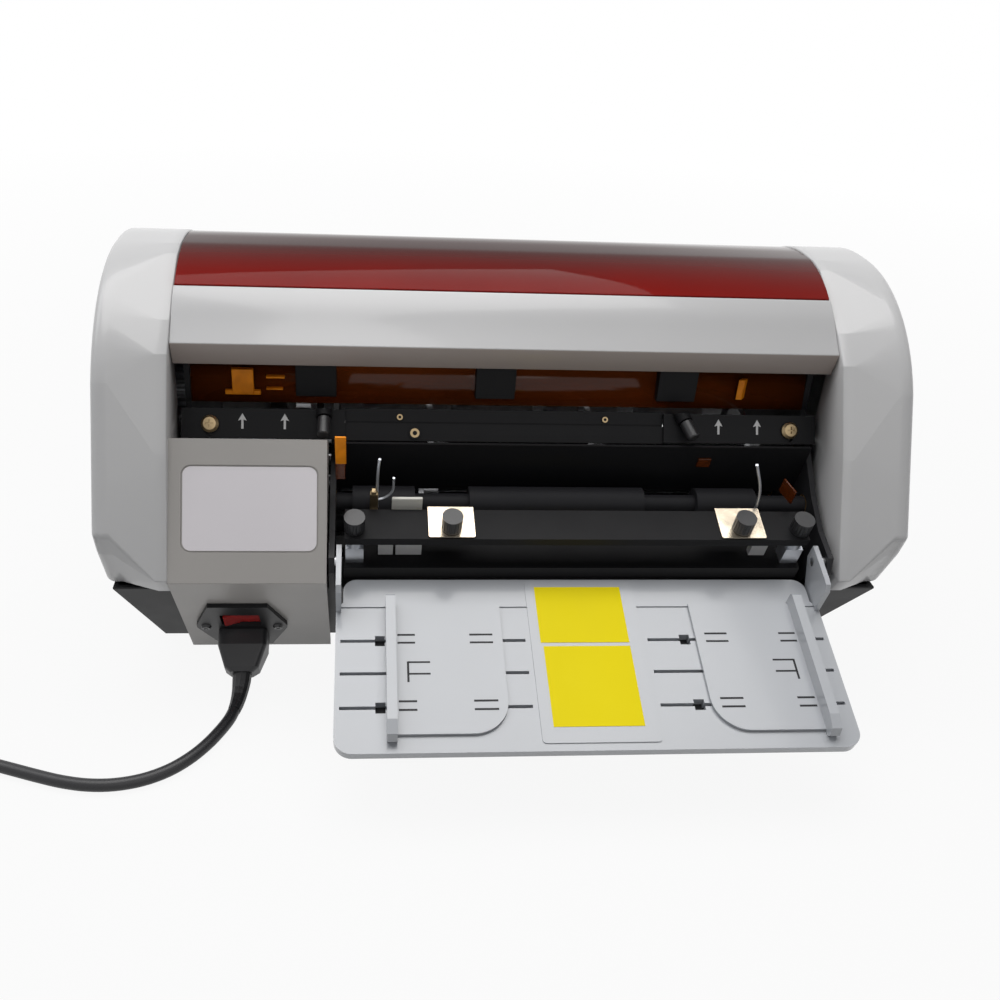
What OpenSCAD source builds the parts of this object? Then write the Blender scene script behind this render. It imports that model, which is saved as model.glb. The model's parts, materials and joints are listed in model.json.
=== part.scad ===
// Electric business card cutter: a desk machine with two feed slots and turning disc blades.
// X runs to the right, Y to the back, Z up. The origin is on the table under the middle.

/* [Body] */
// Overall width over both side covers
body_w = 430; // [400:1:460]
// Radius of the rounded front of the covers seen from the side
top_r = 100; // [96:1:104]
// Radius of their rounded top and back
crown_r = 98.2; // [96:0.2:100]
// Height of the middle of that radius above the table
top_z = 127; // [125:1:130]
// Lean of the front plane from the vertical, in degrees
front_lean = 30; // [28:1:32]
// Wall of the plastic covers
wall = 3; // [2:0.5:4]
// Width of each side cover
cover_w = 37; // [34:1:40]
// Height of the rubber feet
foot_h = 4; // [3:1:6]

/* [Feed tray] */
// Slope of the tray and the feed plane, in degrees
feed_slope = 20; // [18:1:22]
// Width of the tray
tray_w = 260; // [256:1:262]
// Reach of the tray in front of its groove
tray_l = 83; // [76:1:84]
// Thickness of the tray
tray_t = 5; // [4:0.5:6]
// Paper width that the tray guides stand at
paper_w = 212; // [206:1:216]

/* [Cutting] */
// Radius of a disc blade
disc_r = 20.4; // [20:0.1:20.8]
// Number of teeth on each of the paired gears
pair_teeth = 26; // [26:1:26]
// Module of the gears
gear_m = 1.5; // [1.5:0.1:1.5]
// Width of a business card
card_w = 90; // [85:1:92]

/* [Mains lead] */
// Diameter of the lead
lead_d = 6.6; // [6:0.1:7]

/* [Hidden] */
$fn = 36;
half_w = body_w / 2;
top_y = 50;                       // middle of the front part of the top radius
back_y = 157.7;                   // back face
back_mid = back_y - crown_r;       // middle of the rear part of the top radius
back_r = crown_r - 0.5;           // radius of the middle shells at the rear
foot_y = -76;                     // lower corner of the front plane
foot_z = 84;
under_slope = 33.3;               // slope of the underside from the vertical
base_z = foot_h;
cover_z = 68;                     // joint between base and covers
mid_x = half_w - cover_w;         // joint between side covers and middle shells
inner_x = 97;                     // right edge of the front left panel
tray_x = 38;                      // middle of the tray
tray_y = -79.7;                   // groove of the tray
tray_z = 71.2;
pin_up = 14;                      // tray pivot above the tray surface, in its ears
pin_back = 20;                    // its distance behind the groove
guide_mid = 44.5;                 // middle of the paper
bar_h = 22;                       // underside of the feed bar above the tray surface
bar_y = 27;                       // front edge of the feed bar behind the groove
bar_w = 20;
bar_x0 = -87.8;
bar_x1 = 163.2;
post_x = [-82.7, 159];            // posts and knobs of the feed bar
knob_y = 34;                      // line of the posts and thumbscrews behind the groove
knob_r = 5.5;
knob_h = 9;
lean_y = sin(front_lean);
lean_z = cos(front_lean);
push_y = -12.7;                   // a point on the face of the push bar
push_z = 144.4;
push_end = 88.3;                  // joint between push bar and its brackets
screw_x = 160.3;                  // shoulder screws of the brackets
knob_x = 99.5;                    // thumbscrews of the brackets
knob_tilt = 65;                   // their lean from square to the plane
left_turn = 0;
right_turn = 20;
slit_y = 101;                     // first cutter behind the groove, along the feed
pair_d = gear_m * pair_teeth;     // distance of paired shafts
card_y = 48;                      // second cutter, middle of the pair
card_z = 158;
roll_r = 9;
roll_y = 62;                      // feed rollers behind the groove, along the feed
shaft_r = 5;
bush_r = 6;
run = 0.05;                       // running clearance of shafts
frame_l = -96;                    // plate at the left of the first cutter
frame_t = 3;
frame_x = 172;                    // inner faces of the outer plates
drive_x = -124;                   // drive gear and motor pinion
drive_teeth = 42;
pinion_teeth = 14;
pinion_at = -20;                  // direction from the drive gear to the pinion
belt_x = -105;
belt_r = 8.5;
lid_y = 93;                       // hinge of the lid
lid_z = 214.5;
inlet_x = -145.5;                 // middle of the mains inlet
inlet_u = 56;                     // its distance down the slanted face
plug_drop = -13;                  // socket of the inlet, below its middle
rocker_rise = 10;                 // switch of the inlet, above its middle
cord_r = lead_d / 2;
coil_mid = [-338, -60];           // middle of the wound lead
coil_turns = 5;
coil_r = 48.4;                    // outermost turn
coil_pitch = 7.2;                 // from turn to turn, and from layer to layer
coil_z = 4.4;
coil_end = [coil_mid[0], coil_mid[1] - coil_r];
plug_x = -380;                    // lead end of the mains plug
relief_path = [[-145.5, -59, 11], [-145.6, -63, 8.5], [-145.9, -67.5, 6.3], [-146.4, -72, 4.9],
    [-147.1, -77, 4.2], [-148, -82, 4]];
lead_path = [[-148, -82, 4], [-150, -89, 3.7], [-154, -98, 3.6], [-159.5, -108, 3.6],
    [-167, -118, 3.6], [-176.5, -126.5, 3.6], [-188, -132.5, 3.6], [-201, -135.5, 3.6],
    [-214, -135.5, 3.6], [-227, -133, 3.6], [-239.5, -129, 3.6], [-252, -124.5, 3.6],
    [-264.5, -120, 3.6], [-277.5, -115.5, 3.6], [-291, -111.8, 3.7], [-305, -109.4, 3.9],
    [-319, -108.4, 4.2], [coil_end[0] + lead_d, coil_end[1], coil_z]];

// ---- helpers ----
// Extrudes an outline drawn in Y and Z along X, from x0 to x1.
module along_x(x0, x1) {
    translate([x0, 0, 0]) rotate([90, 0, 90]) linear_extrude(x1 - x0) children();
}
// Frame of the feed plane: X as before, Y up the slope, Z square to it, from the groove.
module on_feed() {
    translate([0, tray_y, tray_z]) rotate([feed_slope, 0, 0]) children();
}
// Frame of the front plane: X as before, Y up the plane, Z out of it.
module on_front(y, z) {
    translate([0, y, z]) rotate([90 - front_lean, 0, 0]) children();
}
// Frame of the slanted underside: X as before, Y up it, Z out of it.
module on_under(x, u) {
    translate([x, foot_y + 0.8 + u * sin(under_slope), foot_z - 1 - u * cos(under_slope)])
        rotate([90 + under_slope, 0, 0]) children();
}
module box_at(a, b) {
    translate(a) cube([b[0] - a[0], b[1] - a[1], b[2] - a[2]]);
}
// A flat plate with round corners, its lower left corner at the origin.
module round_plate(w, l, t, r) {
    linear_extrude(t) round_rect(w, l, r);
}
module round_rect(w, l, r) {
    translate([r, 0]) square([w - 2 * r, l]);
    translate([0, r]) square([w, l - 2 * r]);
    for (x = [r, w - r], y = [r, l - r]) translate([x, y]) circle(r);
}
module rod(x0, x1, r, y = 0, z = 0) {
    translate([x0, y, z]) rotate([0, 90, 0]) cylinder(h = x1 - x0, r = r);
}
function arc(y, z, r, from, to, steps, rise) = [for (i = [0:steps])
    [y + r * cos(from + (to - from) * i / steps), z + rise * sin(from + (to - from) * i / steps)]];
// Side outline of a cover where it bulges most.
module crowned_outline(d) {
    offset(delta = -d) polygon(concat(
        [[-57, cover_z], [-65, 92], [-68, 99], [-71.5, 106]],
        arc(top_y, top_z, top_r, 149.3, 90, 24, crown_r),
        arc(back_mid, top_z, crown_r, 90, 0, 36, crown_r), [[back_y, cover_z]]));
}
// The same at the joint with the middle shells, where the front lies in the front plane.
module seam_outline(d) {
    offset(delta = -d) polygon(concat(
        [[-57, cover_z], [-69.6, 75], [foot_y, foot_z + 1], [-47, 143.5], [-18, 193],
            [-6, 200], [3, 207.5], [12, 213.8], [22, 219.1], [33, 222.8], [45, 225.1]],
        arc(back_mid, top_z, crown_r, 90, 0, 36, crown_r), [[back_y, cover_z]]));
}
// Outline of the middle shells, a little inside that of the side covers.
module mid_outline(d) {
    offset(delta = -d) polygon(concat(
        [[-15, 40], [-15, 179.5], [-12.5, 191.5], [-5, 199.5], [3, 207], [12, 213.3], [22, 218.6],
            [33, 222.3], [45, 224.6]],
        arc(back_mid, top_z, back_r, 90, 0, 40, back_r), [[back_mid + back_r, 40]]));
}
// A gear of straight-flanked teeth.
module gear(teeth, m, w, bore, turn = 0) {
    r = teeth * m / 2;
    step = 360 / teeth;
    difference() {
        linear_extrude(w) rotate(turn) polygon([for (i = [0:teeth - 1]) each [
            gear_point(r - 1.25 * m, i * step - 0.36 * step),
            gear_point(r + 0.85 * m, i * step - 0.115 * step),
            gear_point(r + 0.85 * m, i * step + 0.115 * step),
            gear_point(r - 1.25 * m, i * step + 0.36 * step)]]);
        translate([0, 0, -1]) cylinder(h = w + 2, r = bore);
    }
}
function gear_point(r, a) = [r * cos(a), r * sin(a)];
// A tube along a path, with its radius given at each point.
function unit(v) = v / norm(v);
function heading(p, i) = unit(p[min(i + 1, len(p) - 1)] - p[max(i - 1, 0)]);
module tube(path, radii, sides) {
    n = len(path);
    rings = [for (i = [0:n - 1]) let (
            t = heading(path, i),
            side = unit(cross([0, 0, 1], t)),
            up = cross(t, side))
        for (k = [0:sides - 1]) path[i]
            + radii[i] * (cos(k * 360 / sides) * side + sin(k * 360 / sides) * up)];
    walls = [for (i = [0:n - 2], k = [0:sides - 1]) let (
            a = i * sides + k,
            b = i * sides + (k + 1) % sides)
        each [[a, b + sides, b], [a, a + sides, b + sides]]];
    first = [for (k = [1:sides - 2]) [0, k, k + 1]];
    last = [for (k = [1:sides - 2]) [(n - 1) * sides, (n - 1) * sides + k + 1, (n - 1) * sides + k]];
    polyhedron(rings, concat(walls, first, last), convexity = 10);
}
// The wound lead: inwards in the lower layer, up, and outwards in the upper layer.
function coil_height(t) = coil_z + coil_pitch * min(1, max(0, (t / coil_turns - 0.45) * 10));
function coil_point(t) = let (
        r = coil_r - coil_pitch * min(t, coil_turns - t),
        a = -90 - 360 * t)
    [coil_mid[0] + r * cos(a), coil_mid[1] + r * sin(a), coil_height(t)];
coil_path = concat(
    [[coil_end[0] + lead_d, coil_end[1], coil_z]],
    [for (i = [0:24 * coil_turns]) coil_point(i / 24)],
    [[coil_end[0] - lead_d, coil_end[1], coil_z + coil_pitch]]);
function lengths(p) = [for (i = [1:len(p) - 1]) norm(p[i] - p[i - 1])];
function total(v, i = 0) = i < len(v) ? v[i] + total(v, i + 1) : 0;
function least_gap(p, apart) = min([for (i = [0:len(p) - 1], j = [0:len(p) - 1])
    if (j > i + apart) norm(p[i] - p[j])]) - lead_d;
// A thumbscrew standing on the origin, with a shank of length s below.
module thumbscrew(s) {
    difference() {
        cylinder(h = knob_h, r = knob_r);
        for (a = [0:20:340]) rotate(a) translate([knob_r + 0.15, 0, 1]) cylinder(h = knob_h - 2, r = 0.5, $fn = 6);
    }
    translate([0, 0, -s]) cylinder(h = s + 1, r = 2);
}
// Points where the shafts stand, in Y and Z of the machine.
function feed_point(y, h) = [
    tray_y + y * cos(feed_slope) - h * sin(feed_slope),
    tray_z + y * sin(feed_slope) + h * cos(feed_slope)];
slit_low = feed_point(slit_y, 3 - pair_d / 2);
slit_up = feed_point(slit_y, 3 + pair_d / 2);
roll_low = feed_point(roll_y, 3 - roll_r);
roll_up = feed_point(roll_y, 3.4 + roll_r);
card_low = [card_y, card_z - pair_d / 2];
card_up = [card_y, card_z + pair_d / 2];
shafts = [slit_low, slit_up, roll_low, roll_up, card_low, card_up];
pinion_c = slit_low + (drive_teeth + pinion_teeth) * gear_m / 2 * [cos(pinion_at), sin(pinion_at)];
tray_pin = feed_point(pin_back, pin_up);

// ---- base ----
module base_body(d, floor_z, top) {
    hull() {
        box_at([-196 + d, -12 + d, floor_z], [196 - d, 146 - d, floor_z + 1]);
        box_at([-211 + d, -56.3 + d * 1.1, cover_z - 1], [211 - d, back_y - 8 - d, top]);
    }
}
module base_chassis() {
    color("#1b1b1d") difference() {
        base_body(0, base_z, cover_z);
        base_body(2.5, base_z + 2, cover_z + 1);
        // window for the back of the mains inlet
        on_under(inlet_x, inlet_u) box_at([-19, -29, -34], [19, 29, -3.2]);
        for (x = [-150, 150], y = [12, 130]) translate([x, y, base_z - 1]) cylinder(h = 4, r = 1.75);
    }
}
module rubber_feet() {
    color("#202020") for (x = [-150, 150], y = [12, 130]) translate([x, y, 0]) rotate_extrude()
        polygon([[0, 2], [3, 2], [3, 0], [8, 0], [9, foot_h], [0, foot_h]]);
}
// ---- covers ----
module side_cover() {
    // drawn for the left side
    x0 = -half_w;
    color("#d5d5d7") difference() {
        union() {
            hull() {
                along_x(x0, x0 + 0.3) crowned_outline(5);
                along_x(x0 + 1.8, x0 + 2.1) crowned_outline(1.4);
                along_x(x0 + 5, x0 + 19) crowned_outline(0);
            }
            hull() {
                along_x(x0 + 9, x0 + 19) crowned_outline(0);
                along_x(-mid_x - 6, -mid_x) seam_outline(0);
            }
        }
        hull() {
            along_x(x0 + wall, x0 + wall + 0.5) crowned_outline(7);
            along_x(x0 + 7, x0 + 19) crowned_outline(wall);
            along_x(-mid_x - 8, -mid_x - wall) seam_outline(wall);
        }
        // the inner side is open behind the front, where the shafts pass
        along_x(-mid_x - wall - 1, -mid_x + 1) intersection() {
            seam_outline(12);
            translate([-4, cover_z + 4]) square([160, 150]);
        }
        rod(-mid_x - wall - 1, -mid_x + 1, 1.6, lid_y, lid_z);
    }
}
module left_side_cover() {
    side_cover();
}
module right_side_cover() {
    mirror([1, 0, 0]) side_cover();
}
// A stretch of the middle shell, between two places from front to back.
module shell_between(x, t, y0, y1, z0) {
    intersection() {
        along_x(-x, x) difference() {
            mid_outline(0);
            mid_outline(t);
        }
        box_at([-x, y0, z0], [x, y1, top_z + top_r]);
    }
}
module front_top_cover() {
    color("#d5d5d7") shell_between(mid_x, wall, -20, 14.9, 179.5);
}
module rear_cover() {
    color("#d5d5d7") difference() {
        shell_between(mid_x, wall, 98.6, back_y, cover_z);
        // both passes leave here
        box_at([-165, 130, 146], [165, 170, 170]);
    }
}
module tinted_lid() {
    x = mid_x - 0.4;
    color([0.45, 0.08, 0.06, 0.75]) difference() {
        union() {
            shell_between(x, 2.2, 15.3, 95.5, 188);
            for (s = [-1, 1]) translate([s * (x - 7), 0, 0]) rod(-6, 6, 3.2, lid_y, lid_z);
        }
        rod(-x - 1, x + 1, 1.65, lid_y, lid_z);
    }
}
module lid_hinge_pins() {
    color("silver") for (s = [-1, 1]) translate([s * (mid_x - 5), 0, 0])
        rod(-8, 8, 1.6, lid_y, lid_z);
}
module front_left_panel() {
    x0 = -mid_x;
    x1 = -inner_x;
    color("#cfcfd1") difference() {
        union() {
            on_front(foot_y, foot_z) {
                box_at([x0, 0, -wall], [x1, 74.5, 0]);
                // ledge under the push bar
                box_at([x0, 71.5, -29], [x1, 74.5, -1]);
            }
            on_under(0, 0) box_at([x0, -94.5, -wall], [x1, 0.6, 0]);
            // right flank, with the feed mouth on its other side
            along_x(x1 - wall, x1) polygon([
                [foot_y, foot_z], [foot_y + 74.5 * lean_y, foot_z + 74.5 * lean_z],
                [foot_y + 74.5 * lean_y + 29 * lean_z, foot_z + 74.5 * lean_z - 29 * lean_y],
                [-22, 122], [-37, 108], [-37, cover_z], [-57.3, cover_z], [-68.3, 72.3]]);
        }
        // shallow recess for the label
        on_front(foot_y, foot_z) translate([-171.5, 16, -0.8]) round_plate(70.1, 45, 2, 5);
        // opening of the mains inlet
        on_under(inlet_x, inlet_u) box_at([-14.1, -26.1, -wall - 1], [14.1, 26.1, 1]);
        for (s = [-1, 1]) on_under(inlet_x + s * 20, inlet_u) translate([0, 0, -wall - 1])
            cylinder(h = wall + 2, r = 1.6);
    }
}
module label_plate() {
    color("#dcdcde") on_front(foot_y, foot_z) translate([-170.7, 16.8, -0.8]) round_plate(68.5, 43.4, 0.5, 4.4);
}
module inner_shield() {
    // amber floor that leads the strips to the second cutter
    color([0.85, 0.42, 0.1, 0.6]) along_x(-frame_x, frame_x)
        polygon([[6, 150.6], [24, 154.8], [24, 156.8], [6, 152.6]]);
}
module shield_blocks() {
    // hold-down blocks on a cross bar, above the strips
    color("#151515") {
        box_at([-frame_x, 6, 170], [frame_x, 11, 176]);
        for (x = [-104, -6, 96]) box_at([x - 11, 6, 159.6], [x + 11, 11, 170]);
    }
}
// ---- frames ----
module screw_tab(s, depth) {
    // bent tab that the shoulder screw of the push bracket stands in
    on_push() difference() {
        union() {
            box_at([min(s * 153, s * 175), -6, -5.1], [max(s * 153, s * 175), 6, -2.6]);
            box_at([min(s * 172, s * 175), -6, -depth], [max(s * 172, s * 175), 6, -2.6]);
        }
        translate([s * screw_x, 0, -6]) cylinder(h = 4, r = 2.2);
    }
}
module left_side_frame() {
    color("#3a3b3e") {
        along_x(-frame_x - frame_t, -frame_x) difference() {
            polygon([[-4, base_z + 2], [120, base_z + 2], [120, 186], [60, 206], [30, 206], [4, 176],
                [4, 150], [-4, 112]]);
            for (p = [card_low, card_up]) translate(p) circle(bush_r);
        }
        screw_tab(-1, 24);
    }
}
module right_side_frame() {
    color("#3a3b3e") {
        along_x(frame_x, frame_x + frame_t) difference() {
            polygon([[-4, base_z + 2], [120, base_z + 2], [120, 186], [60, 206], [30, 206], [4, 176],
                [4, 150], [-34, 114], [-52, 102], [-70, 96], [-71, 87], [-62, cover_z + 0.8],
                [-49, cover_z + 0.8]]);
            for (p = shafts) translate(p) circle(bush_r);
            translate(tray_pin) circle(2.5);
        }
        screw_tab(1, 14);
    }
}
module centre_frame() {
    color("#2a2a2c") along_x(frame_l, frame_l + frame_t) difference() {
        union() {
            polygon([[-4, base_z + 2], [120, base_z + 2], [120, 126], [-8, 126], [-34, 114],
                [-52, 102], [-70, 96], [-71, 87], [-62, cover_z + 0.8], [-49, cover_z + 0.8]]);
            translate(slit_up) circle(9);
        }
        for (p = [slit_low, slit_up, roll_low, roll_up]) translate(p) circle(bush_r);
        for (p = low_rods) translate(p) circle(4);
        translate(tray_pin) circle(2.5);
    }
}
low_rods = [[106, 62], [20, 44]];
module tie_rods() {
    color("silver") for (p = concat(low_rods, [[106, 176]]))
        rod(-frame_x, frame_x, 4, p[0], p[1]);
}
// ---- push bar ----
module on_push() {
    on_front(push_y, push_z) children();
}
module push_bar() {
    color("#26272a") on_push() {
        box_at([-push_end, 2.5, -6], [push_end, 9.5, -2.5]);
        box_at([-push_end, -8, -4.5], [push_end, 1.5, -1.5]);
        box_at([-push_end, 1, -6], [push_end, 3, -3]);
        for (x = [-58.5, 55.5]) translate([x, 5, -3]) cylinder(h = 1.4, r = 1.8);
        translate([-50.3, -3.7, -2]) cylinder(h = 1.6, r = 3.4);
    }
}
// Frame of a tilted thumbscrew on a push bracket, its axis turned by the given angle.
module on_upper_knob(x, turn) {
    translate([x, 4, 3.5]) rotate([0, 0, turn]) rotate([knob_tilt, 0, 0]) children();
}
module push_bracket(s, turn) {
    x0 = min(s * push_end, s * 175.4);
    x1 = max(s * push_end, s * 175.4);
    color("#2b2c30") on_push() difference() {
        union() {
            box_at([x0, -7.5, -2], [x1, 8.5, 0]);
            box_at([x0, 6.5, -8], [x1, 8.5, 0]);
            // lug for the thumbscrew
            intersection() {
                on_upper_knob(s * knob_x, turn) translate([0, 0, -9]) cylinder(h = 9, r = 4.2);
                box_at([x0, -8, -2], [x1, 8.5, 12]);
            }
        }
        // slot that lets the bracket travel on its shoulder screw
        hull() for (y = [0, -4]) translate([s * screw_x, y, -3]) cylinder(h = 4, r = 2.4, $fn = 32);
        on_upper_knob(s * knob_x, turn) translate([0, 0, -12]) cylinder(h = 14, r = 1.55);
    }
}
module left_push_bracket() {
    push_bracket(-1, left_turn);
}
module right_push_bracket() {
    push_bracket(1, right_turn);
}
module push_bracket_screws() {
    color("#b09a6a") for (s = [-1, 1]) on_push() translate([s * screw_x, 0, 0]) {
        difference() {
            translate([0, 0, 0.3]) rotate_extrude()
                polygon([[0, 0], [4.7, 0], [4.7, 1.2], [3.4, 2.6], [0, 3]]);
            for (a = [0, 90]) rotate(a) box_at([-2, -0.4, 2.1], [2, 0.4, 4]);
        }
        translate([0, 0, -5.1]) cylinder(h = 6, r = 2.15);
    }
}
module upper_knob(x, turn) {
    color("#1c1c1e") on_push() on_upper_knob(x, turn) {
        translate([0, 0, 0.3]) rotate_extrude()
            polygon([[0, 0], [3, 0], [3.5, 0.6], [3.5, 10.2], [2.9, 10.8], [0, 10.8]]);
        translate([0, 0, -5]) cylinder(h = 6, r = 1.5);
    }
}
module left_upper_knob() {
    upper_knob(-knob_x, left_turn);
}
module right_upper_knob() {
    upper_knob(knob_x, right_turn);
}
// ---- lower feed ----
module feed_table() {
    color("#141416") on_feed() {
        difference() {
            box_at([bar_x0 - 0.7, 26, -4], [bar_x1 + 1.6, 52, 0]);
            for (x = post_x) translate([x, knob_y, -5]) cylinder(h = 6, r = 2.05);
        }
        // front edge turned down
        box_at([bar_x0 - 0.7, 26, -9], [bar_x1 + 1.6, 28, -3.5]);
        // feet at the frames
        box_at([frame_l + frame_t, 40, -4], [bar_x0, 48, 0]);
        box_at([bar_x1, 40, -4], [frame_x, 48, 0]);
        // guard in front of the blades, between the frames
        box_at([frame_l + frame_t, 77.6, 6], [frame_x, 79, 42.5]);
    }
}
module bar_posts() {
    color("#b9bdc4") on_feed() for (x = post_x) translate([x, knob_y, 0]) difference() {
        union() {
            box_at([-4.8, -4.5, 0], [4.8, 4.5, 12]);
            translate([0, 0, 11]) cylinder(h = bar_h - 11, r = 4.6);
        }
        translate([0, 0, -1]) cylinder(h = bar_h + 2, r = 2.05);
    }
}
module feed_bar() {
    color("#1f2023") on_feed() difference() {
        union() {
            box_at([bar_x0, bar_y, bar_h], [bar_x1, bar_y + bar_w, bar_h + 2]);
            box_at([bar_x0, bar_y, bar_h - 3.2], [bar_x1, bar_y + 1.2, bar_h + 1]);
        }
        for (x = post_x) translate([x, knob_y, bar_h - 1]) cylinder(h = 4, r = 2.05);
        // slots of the edge guides
        for (x = guide_x) translate([x - 12, knob_y - 2.2, bar_h - 1]) linear_extrude(4)
            round_rect(24, 4.4, 2.1);
    }
}
module bar_knob(x) {
    color("#222326") on_feed() translate([x, knob_y, bar_h + 2.3]) thumbscrew(20);
}
module left_bar_knob() {
    bar_knob(post_x[0]);
}
module right_bar_knob() {
    bar_knob(post_x[1]);
}
guide_x = [-31.5, 126.5];
module edge_guide(x) {
    // bright spring plate, hooked over the back edge of the bar
    color("#e8e4dc") on_feed() translate([x, 0, 0]) difference() {
        union() {
            translate([-12.3, bar_y + 0.6, bar_h + 2.3]) round_plate(24.6, 20.6, 0.8, 1);
            box_at([-12.3, 47.4, bar_h - 6], [12.3, 48.2, bar_h + 3.1]);
        }
        translate([0, knob_y, bar_h]) cylinder(h = 5, r = 2.05);
    }
}
module left_edge_guide() {
    edge_guide(guide_x[0]);
}
module right_edge_guide() {
    edge_guide(guide_x[1]);
}
module guide_knob(x) {
    color("#222326") on_feed() translate([x, knob_y, bar_h + 3.4]) {
        thumbscrew(5);
        translate([0, 0, -6.5]) cylinder(h = 2.6, r = 3.6);
    }
}
module left_guide_knob() {
    guide_knob(guide_x[0]);
}
module right_guide_knob() {
    guide_knob(guide_x[1]);
}
module edge_stops() {
    color("#e9e9ea") on_feed() {
        box_at([-70, 35, 0], [-62, 39, 10]);
        box_at([-60.5, 35, 0], [-46.5, 39, 10]);
        box_at([137.5, 35, 0], [146.5, 39, 10]);
    }
}
module paper_springs() {
    // wires that press the sheet, and the carrier blocks behind the bar
    color("#c9b98c") on_feed() {
        box_at([-74.6, 48.9, 0], [-71.4, 51.8, 33]);
        box_at([-63, 49.2, 0], [-46, 51, 31]);
    }
    color("silver") on_feed() {
        translate([-69.5, 50.5, 0]) cylinder(h = 46, r = 0.8);
        translate([-61.2, 50.1, 30.5]) cylinder(h = 14, r = 0.7);
        translate([136.5, 50, 0]) cylinder(h = 44, r = 0.8);
    }
}
// ---- tray ----
module feed_tray() {
    x0 = tray_x - tray_w / 2;
    x1 = tray_x + tray_w / 2;
    color("#d3d6da") on_feed() difference() {
        union() {
            translate([x0, -tray_l, -tray_t]) round_plate(tray_w, tray_l + 5, tray_t, 9);
            box_at([x0, -10, -tray_t], [x1, 2, 0]);
            translate([x0 + 3.6, -4, -tray_t]) round_plate(tray_w - 7.2, 22, tray_t, 7);
            // ears
            for (x = [x0, x1 - 2.7]) along_x(x, x + 2.7) polygon([
                [-2.5, -tray_t], [-2.5, 17], [0, 20.5], [4, 21], [25.5, 21], [25.5, 12], [12, -tray_t]]);
        }
        // groove across the tray
        box_at([x0 - 1, -0.5, -0.7], [x1 + 1, 0.5, 1]);
        // three slots for each guide, the outer two with a square keyhole
        for (y = [-20.5, -39.6, -58.8]) {
            box_at([-89.5, y - 0.9, -tray_t - 1], [5.7, y + 0.9, 1]);
            box_at([70, y - 0.9, -tray_t - 1], [165.3, y + 0.9, 1]);
        }
        for (y = [-20.5, -58.8]) {
            box_at([-71.9, y - 3, -tray_t - 1], [-66.9, y + 3, 1]);
            box_at([87.2, y - 3, -tray_t - 1], [92.6, y + 3, 1]);
        }
        rod(x0 - 1, x1 + 1, 2.55, pin_back, pin_up);
    }
}
module tray_centre_panel() {
    color("#d9dcdf") on_feed() translate([8.4, -79, 0]) round_plate(59, 96, 0.6, 2);
}
module tray_plates() {
    // two bare yellow plates
    color("#e6d60c") on_feed() {
        box_at([13.4, -22.4, 0.6], [60, 12.6, 0.8]);
        box_at([14.6, -70.5, 0.6], [60, -24.6, 0.8]);
    }
}
module tray_guide() {
    // drawn for the left one, with the inner face of its fin at x = 0
    color("#d8dade") on_feed() difference() {
        union() {
            along_x(-5, 0) polygon([[-77, 0.3], [-78.5, 3], [-77, 8], [-70, 10], [1, 10], [2.5, 8.5],
                [2.5, 0.3]]);
            // base with one rounded corner
            translate([-1, -74, 0.3]) linear_extrude(1.5) {
                square([38, 75]);
                translate([0, 18]) square([56, 57]);
                translate([38, 18]) circle(18);
            }
            // studs in the slots
            for (y = [-20.5, -58.8]) box_at([26, y - 0.6, -4], [33, y + 0.6, 1]);
        }
        // moulded lines
        for (y = [-18, -22.7, -56.3, -61]) {
            box_at([1, y - 0.4, 1.3], [10, y + 0.4, 3]);
            box_at([38, y - 0.4, 1.3], [50, y + 0.4, 3]);
        }
        for (y = [-34.2, -40.9]) box_at([6, y - 0.5, 1.3], [17.2, y + 0.5, 3]);
        box_at([5.6, -45.6, 1.3], [6.4, -33.8, 3]);
    }
}
module left_tray_guide() {
    translate([guide_mid - paper_w / 2, 0, 0]) tray_guide();
}
module right_tray_guide() {
    translate([guide_mid + paper_w / 2, 0, 0]) mirror([1, 0, 0]) tray_guide();
}
module tray_pivot_pins() {
    color("silver") on_feed() {
        rod(frame_l, tray_x - tray_w / 2 + 2.6, 2.5, pin_back, pin_up);
        rod(tray_x + tray_w / 2 - 2.6, frame_x + frame_t, 2.5, pin_back, pin_up);
    }
}
// ---- cutting shafts ----
module disc(p, x, t, r) {
    rod(x, x + t, r, p[0], p[1]);
}
// Turning pairs carry a blade disc and its spacer at each cut line.
module blade_set(p, places, offset_x) {
    for (x = places) {
        disc(p, x + offset_x, 3, disc_r);
        disc(p, x + offset_x + 2.9, 9, 13);
    }
}
module gear_at(p, x, teeth, w, turn) {
    translate([x, p[0], p[1]]) rotate([0, 90, 0]) gear(teeth, gear_m, w, shaft_r - 0.1, turn);
}
slit_x = [for (i = [-1:1]) 44 + i * card_w];
card_x = [for (i = [0:5]) (i - 2.5) * 54];
half_step = 180 / pair_teeth;
pair_x = -115.5;
card_gear_x = -185;
module slitter_shaft_lower() {
    color("#b8bcc2") {
        disc(slit_low, drive_x - 2, frame_x + frame_t + 1 - drive_x + 2, shaft_r);
        blade_set(slit_low, slit_x, 0);
        disc(slit_low, belt_x - 1, 5, belt_r);
        gear_at(slit_low, pair_x, pair_teeth, 8, feed_slope);
    }
}
module slitter_shaft_upper() {
    color("#b8bcc2") {
        disc(slit_up, pair_x - 1, frame_x + frame_t + 1 - pair_x + 1, shaft_r);
        blade_set(slit_up, slit_x, 3.1);
        gear_at(slit_up, pair_x, pair_teeth, 8, feed_slope + half_step);
    }
}
roll_x = [[-84, 34], [-20, 98], [108, 34]];
module feed_roller() {
    color("#30343a") {
        disc(roll_low, belt_x - 2, frame_x + frame_t + 1 - belt_x + 2, shaft_r);
        for (r = roll_x) disc(roll_low, r[0], r[1], roll_r);
        disc(roll_low, belt_x - 1, 5, belt_r);
    }
}
module pinch_roller() {
    color("#30343a") {
        disc(roll_up, frame_l - 0.6, frame_x + frame_t + 1.6 - frame_l, shaft_r);
        for (r = roll_x) disc(roll_up, r[0], r[1], roll_r);
    }
}
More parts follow.
